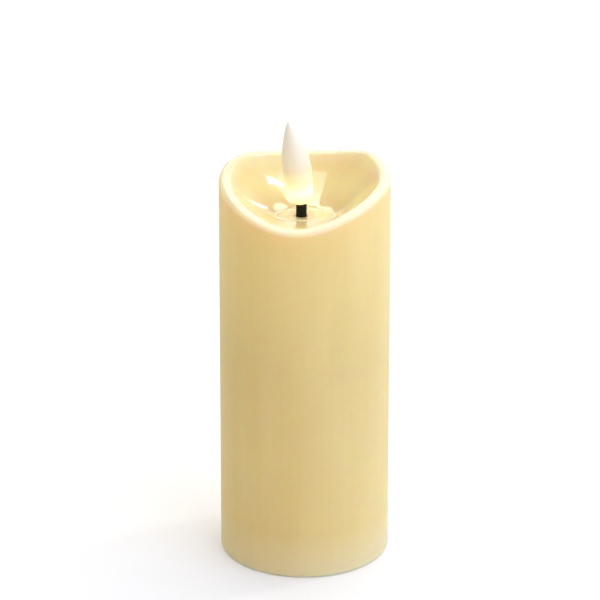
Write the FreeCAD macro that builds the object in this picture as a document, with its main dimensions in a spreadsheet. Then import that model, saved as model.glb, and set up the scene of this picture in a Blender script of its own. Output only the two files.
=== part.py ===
"""Flameless LED pillar candle: wax shell, glowing flame, battery core, hinged door and slide switch.

Millimetres, +Z up. The origin is the middle of the ring that the candle stands on, and -Y is its front.
"""
import FreeCAD, Part
import math
import os
import Sketcher

DRIVING_SIZES = {
    # wax shell
    "bodyRadius": 27.5,
    "baseRound": 1.2,
    "boreRadius": 22.2,
    "boreTop": 98.0,
    "neckRadius": 5.3,
    "neckTop": 108.5,
    "bowlFloor": 116.3,
    # half the length and half the width of the oval pool
    "poolLong": 9.8,
    "poolWide": 5.0,
    "rimHeight": 128.0,
    "blankTop": 138.0,
    "lipRound": 2.2,
    "lipSlope": 50.0,
    # the rim's waves: each one's height, and the direction of its crest in degrees
    "waveOneHeight": 3.3,
    "waveOneTurn": 77.0,
    "waveTwoHeight": 2.4,
    "waveTwoTurn": -9.0,
    "waveThreeHeight": 0.55,
    "waveThreeTurn": -55.0,
    "waveFourHeight": 0.57,
    "waveFourTurn": -40.0,
    # one raised corner and a dip on either side of it
    "cornerHeight": 1.3,
    "cornerTurn": 30.0,
    "backDipHeight": -0.8,
    "backDipTurn": 64.0,
    "frontDipHeight": -0.8,
    "frontDipTurn": -42.0,
    "cornerSharpness": 18.0,
    # wick, flame and LED
    "wickShift": -1.05,
    "wickRadius": 1.7,
    "wickBore": 1.2,
    "wickFoot": 99.0,
    "wickHoleGap": 0.15,
    "flameShift": -0.65,
    "flameFoot": 120.85,
    "flameGap": 0.03,
    "flameLean": 9.0,
    "flameLength": 27.9,
    "flameRadius": 4.62,
    "flameBore": 1.75,
    "flameBoreDepth": 6.2,
    "ledRadius": 1.5,
    "ledFlange": 1.65,
    "ledFlangeThick": 0.8,
    "ledLength": 5.0,
    "ledLift": 0.35,
    "legRadius": 0.2,
    "legSpacing": 0.8,
    "legFoot": 106.0,
    # bush that holds the wick
    "holderRadius": 4.0,
    "holderDrop": 0.5,
    "gripGap": 0.02,
    "bushGap": 0.05,
    # core tube and its cap
    "coreRadius": 21.9,
    "coreWall": 1.6,
    "coreTop": 94.0,
    "capThick": 2.0,
    "capHole": 3.0,
    "capNeckGap": 0.3,
    "spigotDepth": 4.0,
    "spigotWall": 1.4,
    "spigotGap": 0.2,
    "hingeNotchDeep": 12.0,
    "hingeNotchHigh": 2.6,
    # screws
    "screwCircle": 18.4,
    "screwRadius": 1.0,
    "screwHead": 1.9,
    "headHeight": 1.2,
    "headPlay": 0.2,
    "headSink": 0.1,
    "screwLength": 8.0,
    "screwPlay": 0.15,
    "threadGap": 0.02,
    "crossLong": 2.2,
    "crossWide": 0.45,
    "crossDepth": 0.35,
    "bossRadius": 2.5,
    "bossInset": 0.2,
    "bossLength": 10.0,
    # cells and their well
    "cellRadius": 7.15,
    "cellSpacing": 15.4,
    "cellLength": 50.3,
    "cellFoot": 7.8,
    "nubRadius": 2.7,
    "nubHeight": 1.3,
    "wellRadius": 7.55,
    "wellWall": 1.1,
    "wellTop": 61.0,
    "wellRoof": 1.6,
    "ribThick": 1.0,
    "ribDeep": 2.4,
    "ribInset": 0.3,
    # cell contacts
    "sheetMetal": 0.4,
    "contactLong": 10.6,
    "contactWide": 9.0,
    "contactGap": 0.05,
    "buttonRadius": 2.0,
    "tabAt": 12.4,
    "tabWide": 3.0,
    "tabPlay": 0.6,
    "tabOut": 1.2,
    "springWire": 0.35,
    "springRadius": 3.4,
    "springTurns": 2.5,
    # circuit board and what stands on it
    "boardUnder": 65.0,
    "boardThick": 1.2,
    "boardRadius": 17.5,
    "postAt": 6.0,
    "postRadius": 2.2,
    "boardScrewLength": 4.6,
    "slitLong": 2.4,
    "slitWide": 0.5,
    "slitDepth": 0.6,
    "chipX": -5.5,
    "chipY": 8.5,
    "chipLong": 4.9,
    "chipWide": 3.9,
    "chipThick": 1.5,
    "chipLift": 0.2,
    "chipPitch": 1.27,
    "chipLegOut": 2.4,
    "chipLegLong": 1.4,
    "chipLegWide": 0.4,
    "chipLegHigh": 0.7,
    "crystalX": -11.0,
    "crystalY": 7.5,
    "crystalRadius": 1.05,
    "crystalLong": 6.0,
    "canX": 6.5,
    "canY": 8.5,
    "canRadius": 2.5,
    "canHeight": 7.0,
    "resistorX": 2.5,
    "resistorY": -11.5,
    "resistorPitch": 3.0,
    "resistorWide": 1.6,
    "resistorLong": 3.2,
    "resistorThick": 0.6,
    "plugX": -6.5,
    "plugY": -7.0,
    "plugLong": 6.0,
    "plugWide": 5.0,
    "plugHeight": 4.5,
    # wires
    "wireRadius": 0.55,
    "wireEndGap": 0.1,
    "plugPitch": 2.4,
    "ledWirePitch": 1.2,
    "ledWireBend": 4.0,
    "ledWireKneeLow": 13.0,
    "ledWireKneeHigh": 24.0,
    "switchWireBend": 30.0,
    "switchWireKnee": 24.0,
    "switchWireBow": 0.6,
    # base plate and door
    "plateUnder": 2.0,
    "plateThick": 2.4,
    "doorThick": 2.2,
    "doorRadius": 8.6,
    "doorGap": 0.35,
    "hingeAt": -19.4,
    "hingeHeight": 3.9,
    "hingePin": 0.75,
    "hingeBarrel": 1.4,
    "hingeWide": 8.0,
    "hingeEndPlay": 0.4,
    "lugThick": 1.6,
    "lugLong": 3.4,
    "lugHigh": 4.2,
    "pinPlay": 0.08,
    "armStart": -14.0,
    "armThick": 1.7,
    "roomEnd": -13.0,
    "tongueStart": 15.0,
    "tongueEnd": 18.3,
    "tongueWide": 4.0,
    "tongueThick": 1.4,
    "nailStart": 16.9,
    "nailWide": 2.8,
    "nailDeep": 0.8,
    "latchStart": 15.5,
    "latchEnd": 18.7,
    "latchWide": 4.6,
    "grooveAt": 9.0,
    "groovePitch": 1.6,
    "grooveWide": 0.7,
    "grooveLong": 6.0,
    "grooveDeep": 0.4,
    # strip on the door that joins the cells
    "bridgeLong": 24.0,
    "bridgeWide": 7.0,
    "bridgeGap": 0.3,
    "bridgeSpringRadius": 3.2,
    # slide switch
    "switchAt": -14.4,
    "switchTravel": 2.0,
    "slotPlay": 0.6,
    "dishLong": 12.0,
    "dishWide": 5.0,
    "dishDeep": 0.8,
    "caseLong": 12.0,
    "caseWide": 5.4,
    "caseHeight": 5.4,
    "hollowUp": 0.6,
    "hollowLong": 10.4,
    "hollowWide": 4.4,
    "hollowHeight": 2.2,
    "switchPinPitch": 2.5,
    "switchPinLong": 2.8,
    "switchPinWide": 0.8,
    "switchPinThick": 0.5,
    "knobLong": 3.2,
    "knobWide": 2.4,
    "knobTip": 0.8,
    "knobFootUp": 0.9,
    "knobFootLong": 5.6,
    "knobFootWide": 3.8,
    "knobFootThick": 1.4,
    "knobRibPitch": 0.9,
    "knobRibWide": 0.35,
    "knobRibDeep": 0.4,
    # how far a cutting tool passes through a face
    "overcut": 1.0,
}

doc = FreeCAD.newDocument("flameless_candle")
sheet = doc.addObject("Spreadsheet::Sheet", "Sizes")
for row, (alias, number) in enumerate(DRIVING_SIZES.items(), start=1):
    sheet.set(f"A{row}", alias)
    sheet.set(f"B{row}", str(number))
    sheet.setAlias(f"B{row}", alias)
doc.recompute()

nodes = []

# heights that several pieces share
PLATE_TOP = "(Sizes.plateUnder + Sizes.plateThick)"
DOOR_TOP = "(Sizes.plateUnder + Sizes.doorThick)"
BOARD_TOP = "(Sizes.boardUnder + Sizes.boardThick)"
CAP_TOP = "(Sizes.coreTop + Sizes.capThick)"
BUSH_TOP = "(Sizes.neckTop - Sizes.holderDrop)"
BELOW_PLATE = "(Sizes.plateUnder - Sizes.overcut)"
THROUGH_PLATE = "(Sizes.plateThick + 2 * Sizes.overcut)"
THROUGH_BOARD = "(Sizes.boardThick + 2 * Sizes.overcut)"
SIDES = (-1, 1)


def value(text):
    """What an expression in the sheet's aliases comes to, as a plain number."""
    result = sheet.evalExpression(text)
    return float(getattr(result, "Value", result))


def bound(thing, **expressions):
    """Tie properties of an object to expressions; a double underscore in a name stands for a dot."""
    for path, text in expressions.items():
        thing.setExpression(path.replace("__", "."), text)
    return thing


def placed(thing, x="0", y="0", z="0"):
    return bound(thing, Placement__Base__x=x, Placement__Base__y=y, Placement__Base__z=z)


def box(name, x, y, z, length, width, height):
    """A block from its lowest corner."""
    block = doc.addObject("Part::Box", name)
    bound(block, Length=length, Width=width, Height=height)
    return placed(block, x, y, z)


def middle_box(name, x, y, z, length, width, height):
    """A block that stands on z and is centred on x and y."""
    return box(name, f"{x} - ({length}) / 2", f"{y} - ({width}) / 2", z, length, width, height)


def rod(name, x, y, z, radius, height):
    """An upright round bar that stands on z."""
    bar = doc.addObject("Part::Cylinder", name)
    bound(bar, Radius=radius, Height=height)
    return placed(bar, x, y, z)


def cross_rod(name, x, y, z, radius, length):
    """A round bar along Y, centred on y."""
    bar = rod(name, x, f"{y} + ({length}) / 2", z, radius, length)
    bar.Placement.Rotation = FreeCAD.Rotation(FreeCAD.Vector(1, 0, 0), 90)
    return bar


def fused(name, *pieces):
    joined = doc.addObject("Part::MultiFuse", name)
    joined.Shapes = list(pieces)
    return joined


def grouped(name, pieces):
    """Separate solids that share one node."""
    group = doc.addObject("Part::Compound", name)
    group.Links = list(pieces)
    return group


def cut(name, base, *tools):
    """A body less its tools."""
    tool = tools[0] if len(tools) == 1 else fused(name + "_tools", *tools)
    result = doc.addObject("Part::Cut", name)
    result.Base = base
    result.Tool = tool
    return result


def shared(name, base, tool):
    """What two bodies have in common."""
    result = doc.addObject("Part::Common", name)
    result.Base = base
    result.Tool = tool
    return result


def made(name, shape):
    """A free-form object whose shape comes from Part's own functions."""
    feature = doc.addObject("Part::Feature", name)
    feature.Shape = shape
    return feature


def node(thing, label):
    """Name a finished sub-part; its label is its file's name."""
    thing.Label = label
    nodes.append(thing)
    return thing


def origin_plane(body, role):
    return next(plane for plane in body.Origin.OriginFeatures if plane.Role == role)


def draw_outline(sketch, corners):
    """A closed outline whose every corner is tied to a pair of sheet expressions."""
    points = [FreeCAD.Vector(value(x), value(y), 0) for x, y in corners]
    count = len(points)
    for i in range(count):
        sketch.addGeometry(Part.LineSegment(points[i], points[(i + 1) % count]), False)
    for i in range(count):
        sketch.addConstraint(Sketcher.Constraint("Coincident", i, 2, (i + 1) % count, 1))
    for i, corner in enumerate(corners):
        for kind, axis, text in (("DistanceX", -2, corner[0]), ("DistanceY", -1, corner[1])):
            if text == "0":
                sketch.addConstraint(Sketcher.Constraint("PointOnObject", i, 1, axis))
                continue
            place = Sketcher.Constraint(kind, -1, 1, i, 1, value(text))
            index = sketch.addConstraint(place)
            sketch.setExpression(f"Constraints[{index}]", text)


def turned(name, corners):
    """A PartDesign body turned about Z from an outline of radius and height."""
    body = doc.addObject("PartDesign::Body", name)
    sketch = body.newObject("Sketcher::SketchObject", name + "_outline")
    sketch.AttachmentSupport = [(origin_plane(body, "XZ_Plane"), "")]
    sketch.MapMode = "FlatFace"
    draw_outline(sketch, corners)
    revolution = body.newObject("PartDesign::Revolution", name + "_turned")
    revolution.Profile = sketch
    revolution.ReferenceAxis = (sketch, ["V_Axis"])
    revolution.Angle = 360.0
    doc.recompute()
    return body


def round_edges(body, name, radius, wanted):
    """Round the edges of a body's last feature that a test picks."""
    base = body.Tip
    chosen = [f"Edge{i}" for i, edge in enumerate(base.Shape.Edges, start=1) if wanted(edge)]
    fillet = body.newObject("PartDesign::Fillet", name)
    fillet.Base = (base, chosen)
    fillet.setExpression("Radius", radius)
    doc.recompute()


def on_ring(radius, height):
    """A test for round edges about Z of one radius at one height."""

    def wanted(edge):
        if not isinstance(edge.Curve, Part.Circle):
            return False
        centre = edge.Curve.Center
        return abs(edge.Curve.Radius - radius) < 0.01 and abs(centre.z - height) < 0.01

    return wanted


def stadium(name, radius, z, height, spacing="Sizes.cellSpacing"):
    """Two round ends on the cells' centre lines and the block between them."""
    left = rod(name + "_left", f"-{spacing} / 2", "0", z, radius, height)
    right = rod(name + "_right", f"{spacing} / 2", "0", z, radius, height)
    middle = middle_box(name + "_middle", "0", "0", z, spacing, f"2 * ({radius})", height)
    return fused(name, left, right, middle)


def polar(radius, angle):
    """X and Y expressions of a point on a circle about Z, the angle in degrees."""
    return f"{radius} * cos({angle} deg)", f"{radius} * sin({angle} deg)"


# ---------------------------------------------------------------- wax shell


def crest_height(angle):
    """How high the wavy rim is in one direction."""
    height = value("Sizes.rimHeight")
    for count, wave in enumerate(("One", "Two", "Three", "Four"), start=1):
        turn = math.radians(value(f"Sizes.wave{wave}Turn"))
        height += value(f"Sizes.wave{wave}Height") * math.cos(count * (angle - turn))
    for feature in ("corner", "backDip", "frontDip"):
        turn = math.radians(value(f"Sizes.{feature}Turn"))
        nearness = math.exp(value("Sizes.cornerSharpness") * (math.cos(angle - turn) - 1))
        height += value(f"Sizes.{feature}Height") * nearness
    return height


def pool_edge(angle):
    """How far the flat oval pool reaches in one direction."""
    across = math.cos(angle) / value("Sizes.poolLong")
    along = math.sin(angle) / value("Sizes.poolWide")
    return 1 / math.hypot(across, along)


def top_surface():
    """The candle's top as one smooth face: pool, bowl wall, rounded lip and the roll to the outside.

    The roll follows the lip's circle up to a steep slope, then runs on straight to a margin outside the body.
    """
    body_radius = value("Sizes.bodyRadius")
    slope = math.radians(value("Sizes.lipSlope"))
    floor = value("Sizes.bowlFloor")
    lip = value("Sizes.lipRound")
    lip_centre = body_radius - lip
    wall_top = lip_centre - lip * math.sin(slope)
    steepest = 0.96

    def height(x, y):
        radius = math.hypot(x, y)
        angle = math.atan2(y, x)
        pool = pool_edge(angle)
        if radius <= pool:
            return floor
        crest = crest_height(angle)
        if radius < wall_top:
            rise = crest - lip + lip * math.cos(slope) - floor
            power = math.tan(slope) * (wall_top - pool) / rise
            return floor + rise * ((radius - pool) / (wall_top - pool)) ** power
        out = (radius - lip_centre) / lip
        if out < steepest:
            return crest - lip + lip * math.sqrt(1 - out * out)
        edge = math.sqrt(1 - steepest * steepest)
        return crest - lip + lip * (edge - (out - steepest) * steepest / edge)

    margin = 1.5
    steps = 58
    half = body_radius + margin
    places = [half * (2 * i / steps - 1) for i in range(steps + 1)]
    grid = [[FreeCAD.Vector(x, y, height(x, y)) for y in places] for x in places]
    surface = Part.BSplineSurface()
    surface.interpolate(grid)
    return Part.Face(surface)


def wax_shell():
    """Hollow wax pillar with a wavy melted rim, a bowl, and a bore for the battery core."""
    blank = turned(
        "wax_blank",
        [
            ("Sizes.boreRadius", "0"),
            ("Sizes.bodyRadius", "0"),
            ("Sizes.bodyRadius", "Sizes.blankTop"),
            ("0", "Sizes.blankTop"),
            ("0", "Sizes.neckTop"),
            ("Sizes.neckRadius", "Sizes.neckTop"),
            ("Sizes.neckRadius", "Sizes.boreTop"),
            ("Sizes.boreRadius", "Sizes.boreTop"),
        ],
    )
    round_edges(blank, "wax_base_round", "Sizes.baseRound", on_ring(value("Sizes.bodyRadius"), 0))
    headroom = FreeCAD.Vector(0, 0, 2 * value("Sizes.blankTop - Sizes.bowlFloor"))
    above = made("above_the_rim", top_surface().extrude(headroom))
    wick_hole = rod(
        "wick_hole",
        "Sizes.wickShift",
        "0",
        "Sizes.neckTop - Sizes.overcut",
        "Sizes.wickRadius + Sizes.wickHoleGap",
        "Sizes.bowlFloor - Sizes.neckTop + 2 * Sizes.overcut",
    )
    return cut("wax_body", blank, above, wick_hole)


# ---------------------------------------------------------------- flame, wick and LED

# the flame's outline: height and radius as shares of its length and of its widest radius
FLAME_OUTLINE = (
    (0.0, 0.56),
    (0.03, 0.71),
    (0.15, 0.88),
    (0.40, 1.0),
    (0.60, 0.91),
    (0.78, 0.62),
    (0.90, 0.39),
    (0.97, 0.19),
    (1.0, 0.0),
)


def leaning(thing, below="0"):
    """Stand an upright piece on the flame's foot, or a little below it, and lean it as the flame leans."""
    lean = FreeCAD.Rotation(FreeCAD.Vector(0, 1, 0), -value("Sizes.flameLean"))
    foot = FreeCAD.Vector(value("Sizes.flameShift"), 0, value(f"Sizes.flameFoot - {below}"))
    thing.Placement = FreeCAD.Placement(foot, lean)
    return thing


def flame_bulb():
    """Teardrop of frosted plastic with a bore for the LED in its foot."""
    length = value("Sizes.flameLength")
    radius = value("Sizes.flameRadius")
    bore = value("Sizes.flameBore")
    depth = value("Sizes.flameBoreDepth")
    points = [FreeCAD.Vector(r * radius, 0, h * length) for h, r in FLAME_OUTLINE]
    side = Part.BSplineCurve()
    side.interpolate(points)
    corners = [points[-1], FreeCAD.Vector(0, 0, depth), FreeCAD.Vector(bore, 0, depth)]
    corners += [FreeCAD.Vector(bore, 0, 0), points[0]]
    edges = [side.toShape()]
    edges += [Part.makeLine(a, b) for a, b in zip(corners, corners[1:])]
    outline = Part.Face(Part.Wire(Part.__sortEdges__(edges)))
    return leaning(made("flame_body", outline.revolve(FreeCAD.Vector(), FreeCAD.Vector(0, 0, 1), 360)))


def led():
    """Warm white LED: flange, round case and dome, in the flame's foot."""
    straight = "Sizes.ledLength - Sizes.ledRadius"
    flange = rod("led_flange", "0", "0", "Sizes.ledLift", "Sizes.ledFlange", "Sizes.ledFlangeThick")
    case = rod("led_case", "0", "0", "Sizes.ledLift", "Sizes.ledRadius", straight)
    dome = doc.addObject("Part::Sphere", "led_dome")
    bound(dome, Radius="Sizes.ledRadius")
    placed(dome, z=f"Sizes.ledLift + {straight}")
    return leaning(fused("led_body", flange, case, dome))


def led_legs():
    """The LED's two legs, down the inside of the wick sleeve."""
    rise = "(Sizes.flameFoot + Sizes.ledLift - Sizes.legFoot)"
    sideways = "(Sizes.flameShift - Sizes.wickShift)"
    lean = math.degrees(math.atan2(value(sideways), value(rise)))
    legs = []
    for side in SIDES:
        leg = rod(
            f"led_leg_{side}",
            "Sizes.wickShift",
            f"{side} * Sizes.legSpacing / 2",
            "Sizes.legFoot",
            "Sizes.legRadius",
            f"sqrt({rise} ^ 2 + {sideways} ^ 2)",
        )
        leg.Placement.Rotation = FreeCAD.Rotation(FreeCAD.Vector(0, 1, 0), lean)
        legs.append(leg)
    return grouped("led_leg_pair", legs)


def wick_sleeve():
    """Black tube that looks like a wick; its top is cut to the slant of the flame's foot."""
    foot = "Sizes.wickFoot"
    height = f"Sizes.flameFoot + Sizes.overcut - {foot}"
    outside = rod("wick_outside", "Sizes.wickShift", "0", foot, "Sizes.wickRadius", height)
    inside = rod(
        "wick_inside",
        "Sizes.wickShift",
        "0",
        f"{foot} - Sizes.overcut",
        "Sizes.wickBore",
        f"{height} + 2 * Sizes.overcut",
    )
    above = doc.addObject("Part::Cylinder", "wick_above")
    bound(above, Radius="Sizes.flameRadius", Height="4 * Sizes.overcut")
    leaning(above, "Sizes.flameGap")
    return cut("wick_tube", outside, inside, above)


def wick_holder():
    """Bush in the cap's neck that grips the sleeve under the bowl."""
    bush = rod("holder_bush", "0", "0", CAP_TOP, "Sizes.holderRadius", f"{BUSH_TOP} - {CAP_TOP}")
    grip = rod(
        "holder_grip",
        "Sizes.wickShift",
        "0",
        "Sizes.wickFoot",
        "Sizes.wickRadius + Sizes.gripGap",
        "Sizes.neckTop - Sizes.wickFoot",
    )
    wires = rod(
        "holder_wires",
        "Sizes.wickShift",
        "0",
        f"{CAP_TOP} - Sizes.overcut",
        "Sizes.wickBore",
        f"Sizes.wickFoot - {CAP_TOP} + 2 * Sizes.overcut",
    )
    return cut("holder_body", bush, grip, wires)


# ---------------------------------------------------------------- battery core

# how far a coil's end sinks into the sheet it is welded to
WELD = 0.1
BASE_SCREW_ANGLES = (90, 210, 330)
CAP_SCREW_ANGLES = (0, 180)


def boss(name, angle, z, height):
    """Screw pillar against the core tube's wall, trimmed to the tube's outside."""
    x, y = polar("Sizes.screwCircle", angle)
    pillar = rod(name + "_pillar", x, y, z, "Sizes.bossRadius", height)
    limit = rod(name + "_limit", "0", "0", z, "Sizes.coreRadius - Sizes.bossInset", height)
    return shared(name, pillar, limit)


def core_tube():
    """Plastic tube that fills the wax bore, with screw bosses at both ends."""
    inner = "Sizes.coreRadius - Sizes.coreWall"
    wall = turned(
        "core_wall",
        [
            (inner, PLATE_TOP),
            ("Sizes.coreRadius", PLATE_TOP),
            ("Sizes.coreRadius", "Sizes.coreTop"),
            (inner, "Sizes.coreTop"),
        ],
    )
    length = "Sizes.bossLength"
    bosses = [boss(f"low_boss_{a}", a, PLATE_TOP, length) for a in BASE_SCREW_ANGLES]
    bosses += [boss(f"high_boss_{a}", a, f"Sizes.coreTop - {length}", length) for a in CAP_SCREW_ANGLES]
    tools = []
    for angle in BASE_SCREW_ANGLES:
        x, y = polar("Sizes.screwCircle", angle)
        start = f"{PLATE_TOP} - Sizes.overcut"
        tools.append(rod(f"low_pilot_{angle}", x, y, start, "Sizes.screwRadius", length))
    for angle in CAP_SCREW_ANGLES:
        x, y = polar("Sizes.screwCircle", angle)
        start = "Sizes.coreTop - Sizes.screwLength"
        tools.append(rod(f"high_pilot_{angle}", x, y, start, "Sizes.screwRadius", length))
    notch = middle_box(
        "hinge_notch",
        "-Sizes.coreRadius",
        "0",
        f"{PLATE_TOP} - Sizes.overcut",
        "Sizes.hingeNotchDeep",
        "Sizes.hingeWide + 2 * Sizes.lugThick + Sizes.overcut",
        "Sizes.hingeNotchHigh + Sizes.overcut",
    )
    return cut("core_tube_body", fused("core_solid", wall, *bosses), *tools, notch)


def core_cap():
    """Cover of the core tube, with a spigot into the tube and a neck up to the bowl."""
    low = "Sizes.coreTop"
    spigot = "Sizes.coreRadius - Sizes.coreWall - Sizes.spigotGap"
    neck_outside = "Sizes.neckRadius - Sizes.capNeckGap"
    neck_inside = "Sizes.holderRadius + Sizes.bushGap"
    cap = turned(
        "cap_turned",
        [
            ("Sizes.capHole", low),
            (f"{spigot} - Sizes.spigotWall", low),
            (f"{spigot} - Sizes.spigotWall", f"{low} - Sizes.spigotDepth"),
            (spigot, f"{low} - Sizes.spigotDepth"),
            (spigot, low),
            ("Sizes.coreRadius", low),
            ("Sizes.coreRadius", CAP_TOP),
            (neck_outside, CAP_TOP),
            (neck_outside, BUSH_TOP),
            (neck_inside, BUSH_TOP),
            (neck_inside, CAP_TOP),
            ("Sizes.capHole", CAP_TOP),
        ],
    )
    hole = "Sizes.screwRadius + Sizes.screwPlay"
    through_cap = "Sizes.capThick + 2 * Sizes.overcut"
    tools = []
    for angle in CAP_SCREW_ANGLES:
        x, y = polar("Sizes.screwCircle", angle)
        tools.append(rod(f"cap_hole_{angle}", x, y, f"{low} - Sizes.overcut", hole, through_cap))
        tools.append(rod(f"cap_room_{angle}", x, y, f"{low} - Sizes.spigotDepth - Sizes.overcut",
                         "Sizes.bossRadius + Sizes.spigotGap", "Sizes.spigotDepth + Sizes.overcut"))
    return cut("cap_body", cap, *tools)


def screw(name, x, y, z, up):
    """Pan-head screw with a cross recess; its shank points up or down from the head's seat at z."""
    shank_foot = "0" if up else "-Sizes.screwLength"
    head_foot = "-Sizes.headHeight" if up else "0"
    recess_foot = "-Sizes.headHeight - Sizes.crossDepth" if up else "Sizes.headHeight - Sizes.crossDepth"
    recess = "2 * Sizes.crossDepth"
    shank_radius = "Sizes.screwRadius - Sizes.threadGap"
    shank = rod(name + "_shank", "0", "0", shank_foot, shank_radius, "Sizes.screwLength")
    head = rod(name + "_head", "0", "0", head_foot, "Sizes.screwHead", "Sizes.headHeight")
    bars = [
        middle_box(name + "_slot_x", "0", "0", recess_foot, "Sizes.crossLong", "Sizes.crossWide", recess),
        middle_box(name + "_slot_y", "0", "0", recess_foot, "Sizes.crossWide", "Sizes.crossLong", recess),
    ]
    return placed(cut(name, fused(name + "_solid", shank, head), *bars), x, y, z)


def base_screws():
    head_seat = "Sizes.plateUnder + Sizes.headHeight + Sizes.headSink"
    screws = []
    for angle in BASE_SCREW_ANGLES:
        x, y = polar("Sizes.screwCircle", angle)
        screws.append(screw(f"base_screw_{angle}", x, y, head_seat, True))
    return grouped("base_screw_set", screws)


def cap_screws():
    screws = []
    for angle in CAP_SCREW_ANGLES:
        x, y = polar("Sizes.screwCircle", angle)
        screws.append(screw(f"cap_screw_{angle}", x, y, CAP_TOP, False))
    return grouped("cap_screw_set", screws)


def battery_box():
    """Well for two cells side by side, open below, with posts for the board on its roof."""
    outer = "(Sizes.wellRadius + Sizes.wellWall)"
    roof = "(Sizes.wellTop + Sizes.wellRoof)"
    deep = f"(Sizes.wellTop - {PLATE_TOP})"
    below = f"{PLATE_TOP} - Sizes.overcut"
    outside = stadium("well_outside", outer, PLATE_TOP, f"{roof} - {PLATE_TOP}")
    inside = stadium("well_inside", "Sizes.wellRadius", below, f"{deep} + Sizes.overcut")
    solids = [cut("well_shell", outside, inside)]
    post = f"Sizes.boardUnder - {roof}"
    pilot_foot = "Sizes.wellTop - Sizes.overcut"
    pilot = "Sizes.boardUnder - Sizes.wellTop + 2 * Sizes.overcut"
    tools = []
    for side in SIDES:
        rib_y = f"{side} * ({outer} - Sizes.ribInset - Sizes.ribDeep / 2)"
        post_y = f"{side} * Sizes.postAt"
        tab_x = f"{side} * Sizes.tabAt"
        solids.append(middle_box(f"rib_{side}", "0", rib_y, PLATE_TOP,
                                 "Sizes.ribThick", "Sizes.ribDeep", deep))
        solids.append(rod(f"board_post_{side}", "0", post_y, roof, "Sizes.postRadius", post))
        tools.append(rod(f"post_pilot_{side}", "0", post_y, pilot_foot, "Sizes.screwRadius", pilot))
        tools.append(middle_box(f"tab_slot_{side}", tab_x, "0", pilot_foot,
                                "Sizes.sheetMetal + Sizes.tabPlay", "Sizes.tabWide + Sizes.tabPlay",
                                "Sizes.wellRoof + 2 * Sizes.overcut"))
    return cut("battery_box_body", fused("well_solid", *solids), *tools)


def cell(name, x, positive_up):
    """Round cell: a plain can with its nub at one end."""
    can = "Sizes.cellLength - Sizes.nubHeight"
    foot = "Sizes.cellFoot" if positive_up else "Sizes.cellFoot + Sizes.nubHeight"
    nub_foot = f"Sizes.cellFoot + {can}" if positive_up else "Sizes.cellFoot"
    body = rod(name + "_can", x, "0", foot, "Sizes.cellRadius", can)
    nub = rod(name + "_nub", x, "0", nub_foot, "Sizes.nubRadius", "Sizes.nubHeight")
    return fused(name + "_body", body, nub)


def contact_plate(name, side):
    """Sheet contact under the well's roof with a solder tab up through the board, on one side."""
    foot = "Sizes.wellTop - Sizes.sheetMetal"
    x = f"{side} * Sizes.cellSpacing / 2"
    plate = middle_box(name + "_plate", x, "0", foot,
                       "Sizes.contactLong", "Sizes.contactWide", "Sizes.sheetMetal")
    tab = middle_box(
        name + "_tab",
        f"{side} * Sizes.tabAt",
        "0",
        foot,
        "Sizes.sheetMetal",
        "Sizes.tabWide",
        f"{BOARD_TOP} + Sizes.tabOut - Sizes.wellTop",
    )
    return plate, tab


def positive_contact():
    """Contact with a pressed button for the left cell's nub."""
    plate, tab = contact_plate("positive", -1)
    low = "Sizes.cellFoot + Sizes.cellLength + Sizes.contactGap"
    height = f"Sizes.wellTop - Sizes.sheetMetal - ({low})"
    button = rod("positive_button", "-Sizes.cellSpacing / 2", "0", low, "Sizes.buttonRadius", height)
    return fused("positive_body", plate, tab, button)


def coil(name, x, low, high, radius):
    """Coil spring of round wire between two heights."""
    wire = value("Sizes.springWire")
    rise = high - low - 2 * wire
    path = Part.makeHelix(rise / value("Sizes.springTurns"), rise, radius)
    section = Part.Wire(Part.makeCircle(wire, FreeCAD.Vector(radius, 0, 0), FreeCAD.Vector(0, 1, 0)))
    spring = made(name, Part.Wire(path).makePipeShell([section], True, True))
    spring.Placement = FreeCAD.Placement(FreeCAD.Vector(x, 0, low + wire), FreeCAD.Rotation())
    return spring


def negative_spring():
    """Spring contact for the right cell's foot: a coil that hangs from its own plate."""
    plate, tab = contact_plate("negative", 1)
    low = value("Sizes.cellFoot + Sizes.cellLength + Sizes.contactGap")
    high = value("Sizes.wellTop - Sizes.sheetMetal") + WELD
    spring = coil("negative_coil", value("Sizes.cellSpacing / 2"), low, high, value("Sizes.springRadius"))
    return fused("negative_body", plate, tab, spring)


# ---------------------------------------------------------------- circuit board


def circuit_board():
    """Round board on the well's posts, with slots for the contact tabs."""
    disc = rod("board_disc", "0", "0", "Sizes.boardUnder", "Sizes.boardRadius", "Sizes.boardThick")
    low = "Sizes.boardUnder - Sizes.overcut"
    tools = []
    for side in SIDES:
        tools.append(middle_box(f"board_slot_{side}", f"{side} * Sizes.tabAt", "0", low,
                                "2 * Sizes.sheetMetal", "Sizes.tabWide + Sizes.sheetMetal", THROUGH_BOARD))
        tools.append(rod(f"board_hole_{side}", "0", f"{side} * Sizes.postAt", low,
                         "Sizes.screwRadius + Sizes.screwPlay", THROUGH_BOARD))
    return cut("board_body", disc, *tools)


def board_screws():
    """Two slotted screws that hold the board on its posts."""
    length = "Sizes.boardScrewLength"
    shank_radius = "Sizes.screwRadius - Sizes.threadGap"
    slit_foot = f"{BOARD_TOP} + Sizes.headHeight - Sizes.slitDepth"
    screws = []
    for side in SIDES:
        y = f"{side} * Sizes.postAt"
        shank = rod(f"board_shank_{side}", "0", y, f"{BOARD_TOP} - {length}", shank_radius, length)
        head = rod(f"board_head_{side}", "0", y, BOARD_TOP, "Sizes.screwHead", "Sizes.headHeight")
        slit = middle_box(f"board_slit_{side}", "0", y, slit_foot,
                          "Sizes.slitLong", "Sizes.slitWide", "Sizes.overcut")
        screws.append(cut(f"board_screw_{side}", fused(f"board_screw_solid_{side}", shank, head), slit))
    return grouped("board_screw_set", screws)


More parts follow.
